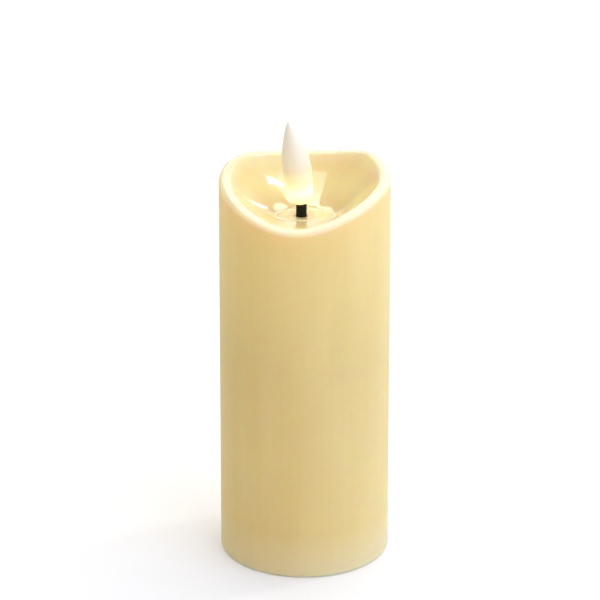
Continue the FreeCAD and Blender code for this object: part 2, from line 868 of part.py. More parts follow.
def controller_chip():
    """Eight-legged timer and flicker controller."""
    case = middle_box("chip_case", "Sizes.chipX", "Sizes.chipY", f"{BOARD_TOP} + Sizes.chipLift",
                      "Sizes.chipLong", "Sizes.chipWide", "Sizes.chipThick")
    legs = []
    for i in range(4):
        for side in SIDES:
            x = f"Sizes.chipX + ({i} - 1.5) * Sizes.chipPitch"
            y = f"Sizes.chipY + {side} * Sizes.chipLegOut"
            legs.append(middle_box(f"chip_leg_{i}_{side}", x, y, BOARD_TOP,
                                   "Sizes.chipLegWide", "Sizes.chipLegLong", "Sizes.chipLegHigh"))
    return fused("chip_body", case, *legs)


def timing_crystal():
    """Small can crystal lying on the board."""
    radius = "Sizes.crystalRadius"
    return cross_rod("crystal_can", "Sizes.crystalX", "Sizes.crystalY", f"{BOARD_TOP} + {radius}", radius,
                     "Sizes.crystalLong")


def capacitor():
    """Upright can capacitor."""
    return rod("capacitor_can", "Sizes.canX", "Sizes.canY", BOARD_TOP, "Sizes.canRadius", "Sizes.canHeight")


def chip_resistors():
    """Row of three chip resistors."""
    blocks = []
    for i in range(3):
        x = f"Sizes.resistorX + {i} * Sizes.resistorPitch"
        blocks.append(middle_box(f"resistor_{i}", x, "Sizes.resistorY", BOARD_TOP,
                                 "Sizes.resistorWide", "Sizes.resistorLong", "Sizes.resistorThick"))
    return grouped("resistor_set", blocks)


def wire_plug():
    """Two-way plug that the LED's wires go into."""
    return middle_box("plug_block", "Sizes.plugX", "Sizes.plugY", BOARD_TOP,
                      "Sizes.plugLong", "Sizes.plugWide", "Sizes.plugHeight")


def bent_wire(name, points, bend):
    """Insulated wire along straight runs joined by tangent arcs."""
    corners = [FreeCAD.Vector(*p) for p in points]
    edges = []
    last = corners[0]
    for before, corner, after in zip(corners, corners[1:], corners[2:]):
        back = (before - corner).normalize()
        ahead = (after - corner).normalize()
        half = back.getAngle(ahead) / 2
        reach = bend / math.tan(half)
        start = corner + back * reach
        end = corner + ahead * reach
        middle_line = (back + ahead).normalize()
        centre = corner + middle_line * (bend / math.sin(half))
        edges.append(Part.makeLine(last, start))
        edges.append(Part.Arc(start, centre - middle_line * bend, end).toShape())
        last = end
    edges.append(Part.makeLine(last, corners[-1]))
    path = Part.Wire(edges)
    direction = (corners[1] - corners[0]).normalize()
    section = Part.Wire(Part.makeCircle(value("Sizes.wireRadius"), corners[0], direction))
    return made(name, path.makePipeShell([section], True, False))


def led_wires():
    """Two insulated wires from the plug up to the LED's legs."""
    board = value(BOARD_TOP)
    plug_y = value("Sizes.plugY")
    wick = value("Sizes.wickShift")
    wires = []
    for side in SIDES:
        x = value(f"Sizes.plugX + {side} * Sizes.plugPitch / 2")
        y = value(f"{side} * Sizes.ledWirePitch / 2")
        route = [
            (x, plug_y, board + value("Sizes.plugHeight")),
            (x, plug_y, board + value("Sizes.ledWireKneeLow")),
            (wick, y, board + value("Sizes.ledWireKneeHigh")),
            (wick, y, value("Sizes.legFoot - Sizes.wireEndGap")),
        ]
        wires.append(bent_wire(f"led_wire_{side}", route, value("Sizes.ledWireBend")))
    return grouped("led_wire_pair", wires)


def switch_wires():
    """Three insulated wires from the switch's pins up to the board, bowed a little outwards."""
    low = value(f"{PLATE_TOP} + Sizes.caseHeight + Sizes.switchPinLong + Sizes.wireEndGap")
    high = value("Sizes.boardUnder - Sizes.wireEndGap")
    y = value("Sizes.switchAt")
    wires = []
    for i in range(3):
        x = value(f"({i} - 1) * Sizes.switchPinPitch")
        bow = value("Sizes.switchWireBow")
        knee = (x * (1 + bow / 2), y + bow, low + value("Sizes.switchWireKnee"))
        route = [(x, y, low), knee, (x, y, high)]
        wires.append(bent_wire(f"switch_wire_{i}", route, value("Sizes.switchWireBend")))
    return grouped("switch_wire_set", wires)


# ---------------------------------------------------------------- base plate, switch and door


# the slot that the switch's knob slides in
SLOT_LONG = "(Sizes.knobLong + 2 * Sizes.switchTravel + Sizes.slotPlay)"
SLOT_WIDE = "(Sizes.knobWide + Sizes.slotPlay)"


def base_plate():
    """Round plate inside the wax foot, with the door's opening, hinge lugs, and the switch's slot."""
    disc = rod("plate_disc", "0", "0", "Sizes.plateUnder", "Sizes.coreRadius", "Sizes.plateThick")
    hinge_start = "(Sizes.hingeAt - Sizes.hingeBarrel - Sizes.doorGap)"
    hinge_wide = "(Sizes.hingeWide + 2 * Sizes.lugThick)"
    tools = [
        stadium("door_opening", "Sizes.doorRadius + Sizes.doorGap", BELOW_PLATE, THROUGH_PLATE),
        box("hinge_room", hinge_start, f"-{hinge_wide} / 2", BELOW_PLATE,
            f"Sizes.roomEnd - {hinge_start}", hinge_wide, THROUGH_PLATE),
        middle_box("switch_slot", "0", "Sizes.switchAt", BELOW_PLATE, SLOT_LONG, SLOT_WIDE, THROUGH_PLATE),
        middle_box("switch_dish", "0", "Sizes.switchAt", BELOW_PLATE,
                   "Sizes.dishLong", "Sizes.dishWide", "Sizes.dishDeep + Sizes.overcut"),
        box("latch_room", "Sizes.latchStart", "-Sizes.latchWide / 2", BELOW_PLATE,
            "Sizes.latchEnd - Sizes.latchStart", "Sizes.latchWide", THROUGH_PLATE),
    ]
    for angle in BASE_SCREW_ANGLES:
        x, y = polar("Sizes.screwCircle", angle)
        tools.append(rod(f"plate_hole_{angle}", x, y, BELOW_PLATE, "Sizes.screwRadius + Sizes.screwPlay",
                         THROUGH_PLATE))
        tools.append(rod(f"plate_sink_{angle}", x, y, BELOW_PLATE, "Sizes.screwHead + Sizes.headPlay",
                         "Sizes.headHeight + Sizes.headSink + Sizes.overcut"))
    lugs = []
    for side in SIDES:
        lug_y = f"{side} * (Sizes.hingeWide + Sizes.lugThick) / 2"
        lugs.append(middle_box(f"lug_{side}", "Sizes.hingeAt", lug_y, "Sizes.plateUnder",
                               "Sizes.lugLong", "Sizes.lugThick", "Sizes.lugHigh"))
    pin_hole = cross_rod("lug_hole", "Sizes.hingeAt", "0", "Sizes.hingeHeight",
                         "Sizes.hingePin + Sizes.pinPlay", f"{hinge_wide} + 2 * Sizes.overcut")
    limit = rod("plate_limit", "0", "0", "Sizes.plateUnder", "Sizes.coreRadius", "2 * Sizes.lugHigh")
    solid = fused("plate_solid", cut("plate_cut", disc, *tools), *lugs)
    return shared("plate_trimmed", cut("plate_drilled", solid, pin_hole), limit)


def battery_door():
    """Stadium-shaped lid with a hinge barrel at one end and a latch tongue at the other."""
    low = "Sizes.plateUnder"
    barrel_long = "(Sizes.hingeWide - Sizes.hingeEndPlay)"
    solids = [
        stadium("door_plate", "Sizes.doorRadius", low, "Sizes.doorThick"),
        cross_rod("door_barrel", "Sizes.hingeAt", "0", "Sizes.hingeHeight",
                  "Sizes.hingeBarrel", barrel_long),
        cross_rod("door_pin", "Sizes.hingeAt", "0", "Sizes.hingeHeight", "Sizes.hingePin",
                  "Sizes.hingeWide + 2 * Sizes.lugThick"),
        box("door_arm", "Sizes.hingeAt", f"-{barrel_long} / 2", "Sizes.hingeHeight - Sizes.hingeBarrel",
            "Sizes.armStart - Sizes.hingeAt", barrel_long, "Sizes.armThick"),
        box("door_tongue", "Sizes.tongueStart", "-Sizes.tongueWide / 2", low,
            "Sizes.tongueEnd - Sizes.tongueStart", "Sizes.tongueWide", "Sizes.tongueThick"),
    ]
    tools = [
        box("nail_notch", "Sizes.nailStart", "-Sizes.nailWide / 2", BELOW_PLATE,
            "Sizes.tongueEnd - Sizes.nailStart + Sizes.overcut",
            "Sizes.nailWide", "Sizes.nailDeep + Sizes.overcut"),
    ]
    for i in range(4):
        x = f"Sizes.grooveAt + {i} * Sizes.groovePitch"
        tools.append(middle_box(f"door_groove_{i}", x, "0", BELOW_PLATE,
                                "Sizes.grooveWide", "Sizes.grooveLong", "Sizes.grooveDeep + Sizes.overcut"))
    return cut("door_body", fused("door_solid", *solids), *tools)


def bridge_contact():
    """Strip on the door that joins the cells' lower ends, with a coil for one, a button for the other."""
    strip = middle_box("bridge_strip", "0", "0", DOOR_TOP,
                       "Sizes.bridgeLong", "Sizes.bridgeWide", "Sizes.sheetMetal")
    high = "(Sizes.cellFoot - Sizes.bridgeGap)"
    low = value(f"{DOOR_TOP} + Sizes.sheetMetal") - WELD
    left = value("-Sizes.cellSpacing / 2")
    spring = coil("bridge_coil", left, low, value(high), value("Sizes.bridgeSpringRadius"))
    button = rod("bridge_button", "Sizes.cellSpacing / 2", "0", DOOR_TOP,
                 "Sizes.buttonRadius", f"{high} - {DOOR_TOP}")
    return fused("bridge_body", strip, spring, button)


def switch_body():
    """Slide switch: metal case with an open slot below and a hollow for the slider."""
    case = middle_box("switch_case", "0", "Sizes.switchAt", PLATE_TOP,
                      "Sizes.caseLong", "Sizes.caseWide", "Sizes.caseHeight")
    slot = middle_box("case_slot", "0", "Sizes.switchAt", f"{PLATE_TOP} - Sizes.overcut",
                      SLOT_LONG, SLOT_WIDE, "Sizes.hollowUp + 2 * Sizes.overcut")
    hollow = middle_box("case_hollow", "0", "Sizes.switchAt", f"{PLATE_TOP} + Sizes.hollowUp",
                        "Sizes.hollowLong", "Sizes.hollowWide", "Sizes.hollowHeight")
    return cut("switch_case_body", case, slot, hollow)


def switch_pins():
    """Three solder pins on top of the switch."""
    pins = []
    for i in range(3):
        x = f"({i} - 1) * Sizes.switchPinPitch"
        pins.append(middle_box(f"switch_pin_{i}", x, "Sizes.switchAt", f"{PLATE_TOP} + Sizes.caseHeight",
                               "Sizes.switchPinWide", "Sizes.switchPinThick", "Sizes.switchPinLong"))
    return grouped("switch_pin_set", pins)


def switch_knob():
    """Slider with a ribbed thumb piece that stands a little out of the base plate."""
    foot_low = f"({PLATE_TOP} + Sizes.knobFootUp)"
    stem = middle_box("knob_stem", "0", "Sizes.switchAt", "Sizes.knobTip",
                      "Sizes.knobLong", "Sizes.knobWide", f"{foot_low} - Sizes.knobTip")
    foot = middle_box("knob_foot", "0", "Sizes.switchAt", foot_low,
                      "Sizes.knobFootLong", "Sizes.knobFootWide", "Sizes.knobFootThick")
    grooves = []
    for i in range(3):
        x = f"({i} - 1) * Sizes.knobRibPitch"
        grooves.append(middle_box(f"knob_groove_{i}", x, "Sizes.switchAt", "Sizes.knobTip - Sizes.overcut",
                                  "Sizes.knobRibWide", "Sizes.knobWide + Sizes.overcut",
                                  "Sizes.knobRibDeep + Sizes.overcut"))
    return cut("knob_body", fused("knob_solid", stem, foot), *grooves)


# ---------------------------------------------------------------- assembly


def build():
    node(wax_shell(), "wax_shell")
    node(flame_bulb(), "flame_bulb")
    node(led(), "led")
    node(led_legs(), "led_legs")
    node(wick_sleeve(), "wick_sleeve")
    node(wick_holder(), "wick_holder")
    node(core_tube(), "core_tube")
    node(core_cap(), "core_cap")
    node(cap_screws(), "cap_screws")
    node(battery_box(), "battery_box")
    node(cell("left_cell", "-Sizes.cellSpacing / 2", True), "left_cell")
    node(cell("right_cell", "Sizes.cellSpacing / 2", False), "right_cell")
    node(positive_contact(), "positive_contact")
    node(negative_spring(), "negative_spring")
    node(circuit_board(), "circuit_board")
    node(board_screws(), "board_screws")
    node(controller_chip(), "controller_chip")
    node(timing_crystal(), "timing_crystal")
    node(capacitor(), "capacitor")
    node(chip_resistors(), "chip_resistors")
    node(wire_plug(), "wire_plug")
    node(led_wires(), "led_wires")
    node(switch_wires(), "switch_wires")
    node(base_plate(), "base_plate")
    node(base_screws(), "base_screws")
    node(battery_door(), "battery_door")
    node(bridge_contact(), "bridge_contact")
    node(switch_body(), "switch_body")
    node(switch_pins(), "switch_pins")
    node(switch_knob(), "switch_knob")


def check():
    """Stop on any object that failed, and on any sub-part without a sound shape."""
    for thing in doc.Objects:
        if "Invalid" in thing.State or "Error" in thing.State:
            raise RuntimeError(f"{thing.Name} failed: {thing.State}")
    for thing in nodes:
        if thing.Shape.isNull() or not thing.Shape.isValid():
            raise RuntimeError(f"{thing.Label} has no sound shape")


def write():
    os.makedirs("parts", exist_ok=True)
    for thing in nodes:
        thing.Shape.exportStep(f"parts/{thing.Label}.step")
        solids = len(thing.Shape.Solids)
        print(f"{thing.Label}: {solids} solid(s), {thing.Shape.Volume:.2f} mm3")


build()
doc.recompute()
check()
write()
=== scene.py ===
"""Looks of the flameless LED candle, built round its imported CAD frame. Metres, +Z up, -Y is the front."""

import math

import bpy
from mathutils import Matrix, Vector, noise


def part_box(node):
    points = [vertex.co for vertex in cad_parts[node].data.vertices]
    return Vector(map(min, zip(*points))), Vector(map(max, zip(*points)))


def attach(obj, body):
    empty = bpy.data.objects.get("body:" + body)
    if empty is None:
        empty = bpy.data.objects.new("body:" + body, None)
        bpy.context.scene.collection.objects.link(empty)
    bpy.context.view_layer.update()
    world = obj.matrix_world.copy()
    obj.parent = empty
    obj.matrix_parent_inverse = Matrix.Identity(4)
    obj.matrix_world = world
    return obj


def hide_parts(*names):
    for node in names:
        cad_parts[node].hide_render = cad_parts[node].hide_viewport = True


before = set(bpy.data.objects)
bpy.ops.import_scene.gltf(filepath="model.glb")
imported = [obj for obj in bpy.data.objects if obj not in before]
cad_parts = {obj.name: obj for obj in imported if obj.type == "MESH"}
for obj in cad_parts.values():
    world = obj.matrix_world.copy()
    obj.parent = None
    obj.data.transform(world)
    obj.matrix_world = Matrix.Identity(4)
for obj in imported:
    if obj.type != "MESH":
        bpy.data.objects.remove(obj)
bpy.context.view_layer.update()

MM = 0.001
wax_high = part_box("wax_shell")[1]
wick_low, wick_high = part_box("wick_sleeve")
cell_low, cell_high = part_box("left_cell")

# ---------------------------------------------------------------- sizes that the looks share with the frame

BODY_RADIUS = wax_high.x
BASE_ROUND = 1.2 * MM
BORE_EDGE = 0.3 * MM
BORE_RADIUS = 22.2 * MM
BORE_TOP = 98.0 * MM
NECK_RADIUS = 5.3 * MM
NECK_TOP = 108.5 * MM
BOWL_FLOOR = 116.3 * MM
POOL_LONG = 9.8 * MM
POOL_WIDE = 5.0 * MM
RIM_HEIGHT = 128.0 * MM
LIP_ROUND = 2.2 * MM
LIP_SLOPE = math.radians(50)
# the ridge that sets round the pool starts this far inside the pool's edge
RIDGE_INSET = 0.9 * MM
# its section: millimetres outwards and upwards, and how wet it still is
POOL_RIDGE = (
    (0.05, 0.04, 0.8),
    (0.3, 0.18, 0.4),
    (0.6, 0.25, 0.0),
    (0.9, 0.18, 0.3),
    (1.15, 0.07, 0.9),
)
# the bowl's wall, as shares of its width: where its own points start, and where it stops being wet
WALL_START = 0.06
WALL_DRIES = (0.2, 0.6)
WALL_FOOT = 0.05 * MM
# each wave of the rim: how many crests it has, how high they are, and where the first one points
RIM_WAVES = (
    (1, 3.3 * MM, math.radians(77)),
    (2, 2.4 * MM, math.radians(-9)),
    (3, 0.55 * MM, math.radians(-55)),
    (4, 0.57 * MM, math.radians(-40)),
)
# one raised corner and a dip on either side of it: height and direction
RIM_CORNERS = (
    (1.3 * MM, math.radians(30)),
    (-0.8 * MM, math.radians(64)),
    (-0.8 * MM, math.radians(-42)),
)
CORNER_SHARPNESS = 18.0
# unevenness of the wax: its depth in millimetres, and how fast it changes along each of three ways
CAST_SWELL = (0.07, (38, 38, 16))
DRAG_MARKS = (0.035, (240, 240, 9))
MELT_RIPPLE = (0.05, (95, 95, 1))
FLOW_RIPPLE = (0.10, (2.4, 2.4, 60))

WICK_X = (wick_low.x + wick_high.x) / 2
WICK_RADIUS = (wick_high.x - wick_low.x) / 2
WICK_BORE = 1.2 * MM
WICK_HOLE = WICK_RADIUS + 0.15 * MM
# the softened edge of the wick's hole: millimetres outwards and upwards
WICK_HOLE_EDGE = (
    (0.0, -0.25),
    (0.08, -0.06),
)

FLAME_FOOT = Vector((-0.65, 0, 120.85)) * MM
FLAME_LEAN = math.radians(9)
FLAME_LENGTH = 27.9 * MM
FLAME_RADIUS = 4.62 * MM
FLAME_BORE = 1.75 * MM
FLAME_BORE_DEPTH = 6.2 * MM
# height and radius as shares of the flame's length and of its widest radius
FLAME_OUTLINE = (
    (0.0, 0.56),
    (0.03, 0.71),
    (0.15, 0.88),
    (0.40, 1.0),
    (0.60, 0.91),
    (0.78, 0.62),
    (0.90, 0.39),
    (0.97, 0.19),
    (1.0, 0.0),
)

# ---------------------------------------------------------------- node helpers


def new_material(name, **constants):
    """A material, its node tree and its Principled shader, with the shader's constants set by name."""
    material = bpy.data.materials.new(name)
    material.use_nodes = True
    tree = material.node_tree
    shader = tree.nodes["Principled BSDF"]
    for socket, value in constants.items():
        shader.inputs[socket.replace("_", " ")].default_value = value
    return material, tree, shader


def add(tree, kind, inputs=None, **settings):
    """A new shader node; each input takes a socket to link from or a plain value."""
    made = tree.nodes.new("ShaderNode" + kind)
    for name, value in settings.items():
        setattr(made, name, value)
    for name, value in (inputs or {}).items():
        if isinstance(value, bpy.types.NodeSocket):
            tree.links.new(value, made.inputs[name])
        else:
            made.inputs[name].default_value = value
    return made


def place(tree, stretch=(1, 1, 1)):
    """The point being shaded, in the piece's own metres, stretched along each axis."""
    point = add(tree, "TexCoord").outputs["Object"]
    return add(tree, "Mapping", {"Vector": point, "Scale": stretch}).outputs["Vector"]


def grain(tree, scale, detail=3.0, stretch=(1, 1, 1), roughness=0.5):
    """Noise from 0 to 1 whose cells are about 1/scale metres across."""
    settings = {"Vector": place(tree, stretch), "Scale": scale, "Detail": detail, "Roughness": roughness}
    return add(tree, "TexNoise", settings).outputs["Fac"]


def spread(tree, value, low, high, start=0.3, end=0.7):
    """A value's range start..end mapped to low..high."""
    settings = {"Value": value, "From Min": start, "From Max": end, "To Min": low, "To Max": high}
    return add(tree, "MapRange", settings).outputs["Result"]


def ramp(tree, value, *stops):
    """Colours along a value; each stop is a position and a colour."""
    made = add(tree, "ValToRGB", {"Fac": value})
    elements = made.color_ramp.elements
    while len(elements) < len(stops):
        elements.new(0.5)
    for element, (position, colour) in zip(elements, stops):
        element.position = position
        element.color = (*colour, 1.0)
    return made.outputs["Color"]


def maths(tree, operation, first, second=0.0, clamp=False):
    """The result of one arithmetic step on two sockets or plain values."""
    made = add(tree, "Math", operation=operation, use_clamp=clamp)
    for index, value in enumerate((first, second)):
        if isinstance(value, bpy.types.NodeSocket):
            tree.links.new(value, made.inputs[index])
        else:
            made.inputs[index].default_value = value
    return made.outputs["Value"]


def mixed(tree, share, first, second):
    """Two colours mixed by a share."""
    made = add(tree, "Mix", data_type="RGBA")
    for index, value in ((0, share), (6, first), (7, second)):
        if isinstance(value, bpy.types.NodeSocket):
            tree.links.new(value, made.inputs[index])
        else:
            made.inputs[index].default_value = value if index == 0 else (*value, 1.0)
    return made.outputs[2]


def attribute(tree, name):
    """A value that the mesh code stored on each vertex."""
    return add(tree, "Attribute", attribute_name=name).outputs["Fac"]


def relief(tree, shader, *layers):
    """Bumps stacked on a shader; each layer is a height, a strength and a distance in metres."""
    normal = None
    for height, strength, distance in layers:
        made = add(tree, "Bump", {"Height": height, "Strength": strength, "Distance": distance})
        if normal is not None:
            tree.links.new(normal, made.inputs["Normal"])
        normal = made.outputs["Normal"]
    tree.links.new(normal, shader.inputs["Normal"])


def lighter(colour, factor):
    """A colour made lighter or darker by a factor, held at white."""
    return tuple(min(1.0, c * factor) for c in colour)


# ---------------------------------------------------------------- materials


def wax_material():
    """Ivory wax: light goes into it and the bowl is wet; painted light makes the foot paler (floor bounce)
    and the bowl and rim paler (light they catch), and the top has a little painted glow.
    """
    material, tree, shader = new_material(
        "ivory_wax",
        Subsurface_Weight=1.0,
        Subsurface_Radius=(1.0, 0.45, 0.12),
        Subsurface_Scale=5.5 * MM,
        IOR=1.44,
        Specular_IOR_Level=0.35,
        Coat_Roughness=0.02,
        Coat_IOR=2.3,
    )
    bowl = attribute(tree, "bowl")
    pool = attribute(tree, "pool")
    drag = grain(tree, 420, 4.0, (1, 1, 0.04))
    cloud = grain(tree, 55, 3.0, (1, 1, 0.35))
    body_shades = (0.35, (0.79, 0.60, 0.235)), (0.65, (0.82, 0.632, 0.262))
    # painted light: the bowl's shades are paler than the body's, for the light the bowl catches from the
    # flame and from above; the cloud gives them random tone
    painted_bowl_shades = (0.35, (0.885, 0.745, 0.36)), (0.65, (0.91, 0.78, 0.41))
    outside = ramp(tree, cloud, *body_shades)
    streaked = mixed(tree, spread(tree, drag, 0.0, 0.15), outside, (0.87, 0.72, 0.42))
    inside = mixed(tree, bowl, streaked, ramp(tree, cloud, *painted_bowl_shades))
    pooled = mixed(tree, maths(tree, "MULTIPLY", pool, 0.8), inside, (0.88, 0.68, 0.34))
    # painted rim light: the lip's share mixes the colour up to 0.55 towards a pale cream, for the light its
    # thin round wax catches and lets through
    lip = maths(tree, "MULTIPLY", attribute(tree, "lip"), 0.55)
    colour = mixed(tree, lip, pooled, (0.95, 0.915, 0.78))
    height = add(tree, "SeparateXYZ", {"Vector": place(tree)}).outputs["Z"]
    # painted bounce light: the bottom 15 mm are mixed up to 0.4 towards a paler cream, standing in for
    # light the pale floor throws back onto the foot
    foot = spread(tree, height, 0.40, 0.0, 2 * MM, 15 * MM)
    tree.links.new(mixed(tree, foot, colour, (0.88, 0.79, 0.56)), shader.inputs["Base Color"])
    dull = spread(tree, grain(tree, 260, 4.0), 0.48, 0.60)
    wet = maths(tree, "MULTIPLY", bowl, -0.34)
    wetter = maths(tree, "MULTIPLY", pool, -0.08)
    rough = maths(tree, "ADD", maths(tree, "ADD", dull, wet), wetter, clamp=True)
    tree.links.new(rough, shader.inputs["Roughness"])
    bowl_gloss = maths(tree, "MULTIPLY", bowl, 0.38)
    pool_gloss = maths(tree, "MULTIPLY", pool, 0.62)
    tree.links.new(maths(tree, "ADD", bowl_gloss, pool_gloss), shader.inputs["Coat Weight"])
    # painted glow: the outside from 72 mm up emits a little warm light that stands in for the LED's light
    # coming through the wax; the bowl is left out
    near_top = spread(tree, height, 0.0, 0.10, 72 * MM, 118 * MM)
    lit = maths(tree, "MULTIPLY", near_top, maths(tree, "SUBTRACT", 1.0, bowl))
    tree.links.new(lit, shader.inputs["Emission Strength"])
    shader.inputs["Emission Color"].default_value = (1.0, 0.82, 0.24, 1.0)
    fine = grain(tree, 2600, 3.0)
    relief(tree, shader, (drag, 0.14, 0.2 * MM), (fine, 0.04, 0.05 * MM))
    return material


def flame_material():
    """Frosted plastic, lit from its foot by the LED inside."""
    material, tree, shader = new_material(
        "frosted_flame",
        Subsurface_Weight=0.6,
        Subsurface_Radius=(1.0, 0.8, 0.65),
        Subsurface_Scale=3 * MM,
        IOR=1.46,
    )
    rise = attribute(tree, "rise")
    frost = grain(tree, 900, 4.0)
    body = ramp(
        tree,
        rise,
        (0.0, (0.92, 0.82, 0.52)),
        (0.28, (0.89, 0.79, 0.46)),
        (0.48, (0.92, 0.81, 0.59)),
        (1.0, (0.92, 0.88, 0.75)),
    )
    dusty = mixed(tree, spread(tree, frost, 0.0, 0.12), body, (0.80, 0.76, 0.74))
    tree.links.new(dusty, shader.inputs["Base Color"])
    glow = ramp(
        tree,
        rise,
        (0.0, (1.0, 0.80, 0.40)),
        (0.13, (1.0, 0.93, 0.66)),
        (0.35, (1.0, 0.82, 0.50)),
        (0.70, (1.0, 0.78, 0.62)),
    )
    tree.links.new(glow, shader.inputs["Emission Color"])
    power = ramp(
        tree,
        rise,
        (0.0, (0.35,) * 3),
        (0.14, (1.0,) * 3),
        (0.26, (0.52,) * 3),
        (0.42, (0.17,) * 3),
        (0.70, (0.09,) * 3),
        (1.0, (0.05,) * 3),
    )
    strength = maths(tree, "MULTIPLY", power, 0.9)
    tree.links.new(strength, shader.inputs["Emission Strength"])
    tree.links.new(spread(tree, frost, 0.38, 0.52), shader.inputs["Roughness"])
    relief(tree, shader, (frost, 0.05, 0.1 * MM))
    return material


def moulded(name, colour, grain_size=0.25 * MM, rough=(0.38, 0.52), depth=0.06):
    """Moulded plastic: a fine spark-eroded grain, slight shade changes and paler rubbed edges."""
    material, tree, shader = new_material(name, IOR=1.47, Specular_IOR_Level=0.4)
    cloud = grain(tree, 180, 4.0)
    fine = grain(tree, 1 / grain_size, 3.0)
    base = ramp(tree, cloud, (0.3, lighter(colour, 0.93)), (0.7, lighter(colour, 1.05)))
    pointiness = add(tree, "NewGeometry").outputs["Pointiness"]
    rubbed = mixed(tree, spread(tree, pointiness, 0.0, 0.35, 0.52, 0.60), base, lighter(colour, 1.25))
    tree.links.new(rubbed, shader.inputs["Base Color"])
    tree.links.new(spread(tree, fine, *rough), shader.inputs["Roughness"])
    relief(tree, shader, (fine, depth, 0.06 * MM), (cloud, 0.03, 0.2 * MM))
    return material


def metal(name, colour, rough=(0.22, 0.38), stretch=(1, 1, 1), tarnish=0.8):
    """Plated metal with drawing marks and a little tarnish."""
    material, tree, shader = new_material(name, Metallic=1.0)
    marks = grain(tree, 900, 4.0, stretch)
    cloud = grain(tree, 240, 4.0)
    base = ramp(tree, cloud, (0.35, lighter(colour, tarnish)), (0.62, colour))
    tree.links.new(base, shader.inputs["Base Color"])
    tree.links.new(spread(tree, marks, *rough), shader.inputs["Roughness"])
    relief(tree, shader, (marks, 0.08, 0.05 * MM))
    return material


def cell_material():
    """A plain foil jacket with a coppery band at the top end and bare metal round both edges."""
    material, tree, shader = new_material("cell_jacket", Coat_Weight=0.3, Coat_Roughness=0.15)
    height = add(tree, "SeparateXYZ", {"Vector": place(tree)}).outputs["Z"]
    along = spread(tree, height, 0.0, 1.0, cell_low.z, cell_high.z)
    steel = (0.62, 0.61, 0.58)
    jacket = ramp(
        tree,
        along,
        (0.0, steel),
        (0.035, (0.05, 0.07, 0.10)),
        (0.70, (0.06, 0.08, 0.12)),
        (0.705, (0.60, 0.34, 0.14)),
        (0.94, (0.64, 0.37, 0.16)),
        (0.95, steel),
    )
    jacket.node.color_ramp.interpolation = "CONSTANT"
    scuffs = grain(tree, 700, 5.0, (1, 1, 0.3))
    worn = mixed(tree, spread(tree, scuffs, 0.0, 0.35, 0.55, 0.75), jacket, (0.42, 0.40, 0.38))
    tree.links.new(worn, shader.inputs["Base Color"])
    tree.links.new(spread(tree, scuffs, 0.25, 0.45), shader.inputs["Roughness"])
    tree.links.new(spread(tree, along, 0.75, 0.9, 0.6, 0.8), shader.inputs["Metallic"])
    relief(tree, shader, (scuffs, 0.04, 0.05 * MM))
    return material


def board_material():
    """Green solder mask over square copper runs."""
    material, tree, shader = new_material("solder_mask", Coat_Weight=0.4, Coat_Roughness=0.2)
    bricks = {
        "Vector": place(tree),
        "Color1": (0.02, 0.16, 0.06, 1),
        "Color2": (0.03, 0.21, 0.08, 1),
        "Mortar": (0.06, 0.32, 0.13, 1),
        "Scale": 260.0,
        "Mortar Size": 0.035,
        "Brick Width": 0.9,
        "Row Height": 0.35,
    }
    runs = add(tree, "TexBrick", bricks)
    speck = grain(tree, 900, 4.0)
    mask = mixed(tree, spread(tree, speck, 0.0, 0.2), runs.outputs["Color"], (0.02, 0.12, 0.05))
    tree.links.new(mask, shader.inputs["Base Color"])
    tree.links.new(spread(tree, speck, 0.28, 0.42), shader.inputs["Roughness"])
    relief(tree, shader, (runs.outputs["Fac"], 0.25, 0.03 * MM), (speck, 0.04, 0.03 * MM))
    return material


def lens_material():
    """Clear warm epoxy of the LED, with a faint haze."""
    material, tree, shader = new_material(
        "led_epoxy",
        IOR=1.5,
        Transmission_Weight=0.6,
        Emission_Strength=1.2,
    )
    haze = grain(tree, 1500, 3.0)
    tint = ramp(tree, haze, (0.3, (0.95, 0.82, 0.45)), (0.7, (1.0, 0.92, 0.66)))
    tree.links.new(tint, shader.inputs["Base Color"])
    shader.inputs["Emission Color"].default_value = (1.0, 0.78, 0.42, 1.0)
    tree.links.new(spread(tree, haze, 0.10, 0.22), shader.inputs["Roughness"])
    return material


# ---------------------------------------------------------------- mesh helpers


def shell_from_rings(name, rings, close_loop, material):
    """A smooth mesh from rings of points; the last ring joins the first, or else both ends are capped."""
    count = len(rings[0])
    vertices = [point for ring in rings for point in ring]
    faces = []
    pairs = [(i, i + 1) for i in range(len(rings) - 1)]
    if close_loop:
        pairs.append((len(rings) - 1, 0))
    for low, high in pairs:
        for i in range(count):
            after = (i + 1) % count
            corners = (low * count + i, low * count + after, high * count + after, high * count + i)
            faces.append(corners)
    if not close_loop:
        faces.append(tuple(reversed(range(count))))
        faces.append(tuple(range((len(rings) - 1) * count, len(rings) * count)))
    mesh = bpy.data.meshes.new(name)
    mesh.from_pydata(vertices, [], faces)
    mesh.shade_smooth()
    mesh.materials.append(material)
    piece = bpy.data.objects.new(name, mesh)
    bpy.context.scene.collection.objects.link(piece)
    return piece


def store(piece, name, values):
    """Keep one number per vertex for the material to read."""
    data = piece.data.attributes.new(name, "FLOAT", "POINT")
    data.data.foreach_set("value", values)


def smooth_step(value, start, end):
    """0 below start, 1 above end and an easy curve between them."""
    share = min(1.0, max(0.0, (value - start) / (end - start)))
    return share * share * (3 - 2 * share)


def steps(low, high, count):
    """Evenly spaced values from low to high, both ends included."""
    return [low + (high - low) * i / count for i in range(count + 1)]


# ---------------------------------------------------------------- wax shell

AROUND = 216
FLOOR_STEPS = 12
WALL_STEPS = 26
LIP_STEPS = 14
OUTSIDE_STEPS = 48
ROUND_STEPS = 5
BORE_STEPS = 12


